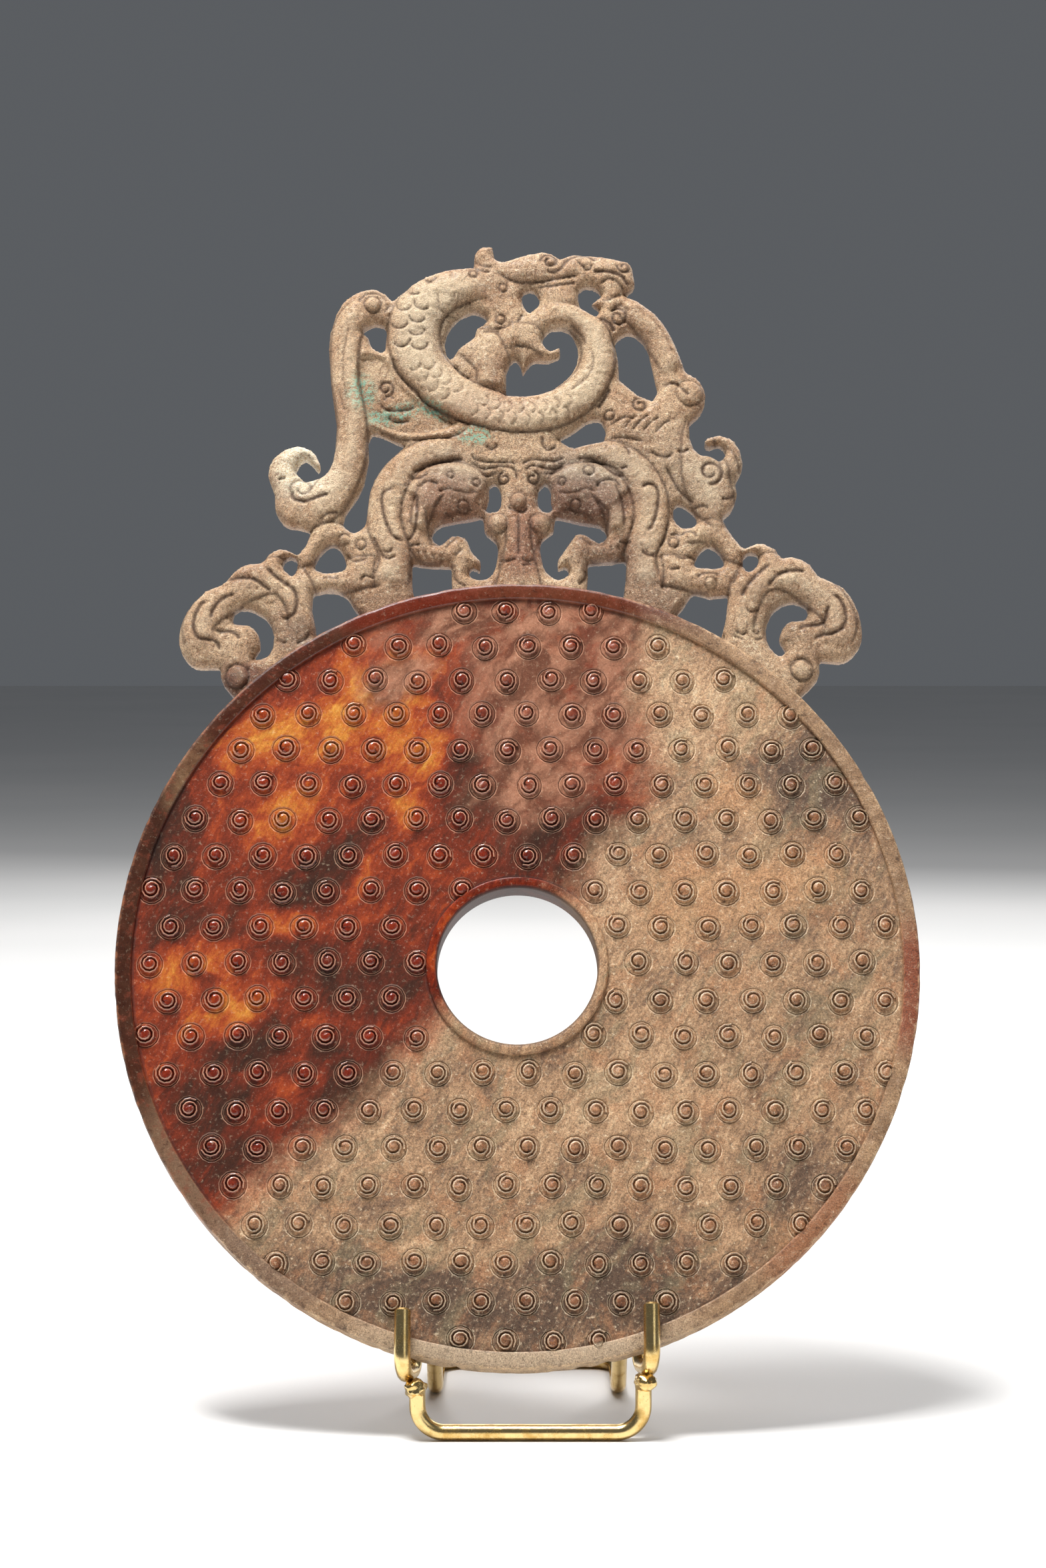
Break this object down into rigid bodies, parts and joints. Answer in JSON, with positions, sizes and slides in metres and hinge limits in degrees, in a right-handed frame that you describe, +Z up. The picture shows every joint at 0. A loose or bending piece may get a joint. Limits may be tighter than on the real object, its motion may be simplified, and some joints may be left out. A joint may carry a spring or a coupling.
{
  "type": "bi disc with openwork crest on wire stand",
  "caption": "Flat round jade disc with a centre hole, raised rims and an openwork beast crest, leaning back on a bent brass wire stand.",
  "frame": {"origin": "on the floor, under the middle of the bounding box", "axes": "+Z up, the carved front of the disc faces -Y, +X to the right as seen from the front"},
  "size_m": [0.2, 0.1076, 0.2952],
  "materials": {
    "jade": "polished, amber and red-brown to beige",
    "brass": "bright drawn wire"
  },
  "bodies": {
    "root": {"bi_disc": "jade", "cradle_wire": "brass", "front_foot": "brass", "rear_foot": "brass"}
  },
  "joints": []
}
